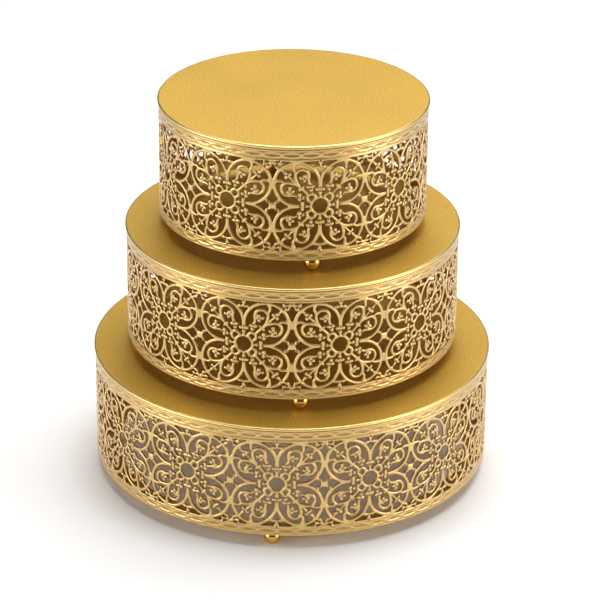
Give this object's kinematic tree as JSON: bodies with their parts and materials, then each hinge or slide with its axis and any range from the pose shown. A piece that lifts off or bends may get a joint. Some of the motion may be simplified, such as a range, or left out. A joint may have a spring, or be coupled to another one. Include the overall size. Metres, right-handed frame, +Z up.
{
  "type": "tiered cake stand",
  "caption": "Stack of round cake stands, each a flat rolled-edge plate on a pierced lace-pattern metal drum with ball feet; the stands lift apart.",
  "frame": {"origin": "on the table under the centre of the stack", "axes": "+Z up along the axis of the plates, the pictured front towards -Y"},
  "size_m": [0.3048, 0.3048, 0.3],
  "materials": {
    "plate_gold": "satin gold lacquer with a fine flake",
    "lace_gold": "champagne gold plating, brighter on the raised strokes",
    "base_gold": "satin gold lacquer",
    "ball_gold": "polished gold",
    "screw_steel": "zinc plated"
  },
  "bodies": {
    "bottom_stand": {"bottom_plate": "plate_gold", "bottom_lace_band": "lace_gold", "bottom_base_ring": "base_gold", "bottom_foot_front": "ball_gold", "bottom_foot_right": "ball_gold", "bottom_foot_back": "ball_gold", "bottom_foot_left": "ball_gold", "bottom_foot_screws": "screw_steel"},
    "middle_stand": {"middle_plate": "plate_gold", "middle_lace_band": "lace_gold", "middle_base_ring": "base_gold", "middle_foot_front": "ball_gold", "middle_foot_right": "ball_gold", "middle_foot_back": "ball_gold", "middle_foot_left": "ball_gold", "middle_foot_screws": "screw_steel"},
    "top_stand": {"top_plate": "plate_gold", "top_lace_band": "lace_gold", "top_base_ring": "base_gold", "top_foot_front": "ball_gold", "top_foot_right": "ball_gold", "top_foot_back": "ball_gold", "top_foot_left": "ball_gold", "top_foot_screws": "screw_steel"}
  },
  "joints": [
    {"name": "middle_lift", "type": "slide", "parent": "bottom_stand", "child": "middle_stand", "axis": [0, 0, 1], "range_m": [0, 0.15]},
    {"name": "top_lift", "type": "slide", "parent": "middle_stand", "child": "top_stand", "axis": [0, 0, 1], "range_m": [0, 0.15]}
  ]
}
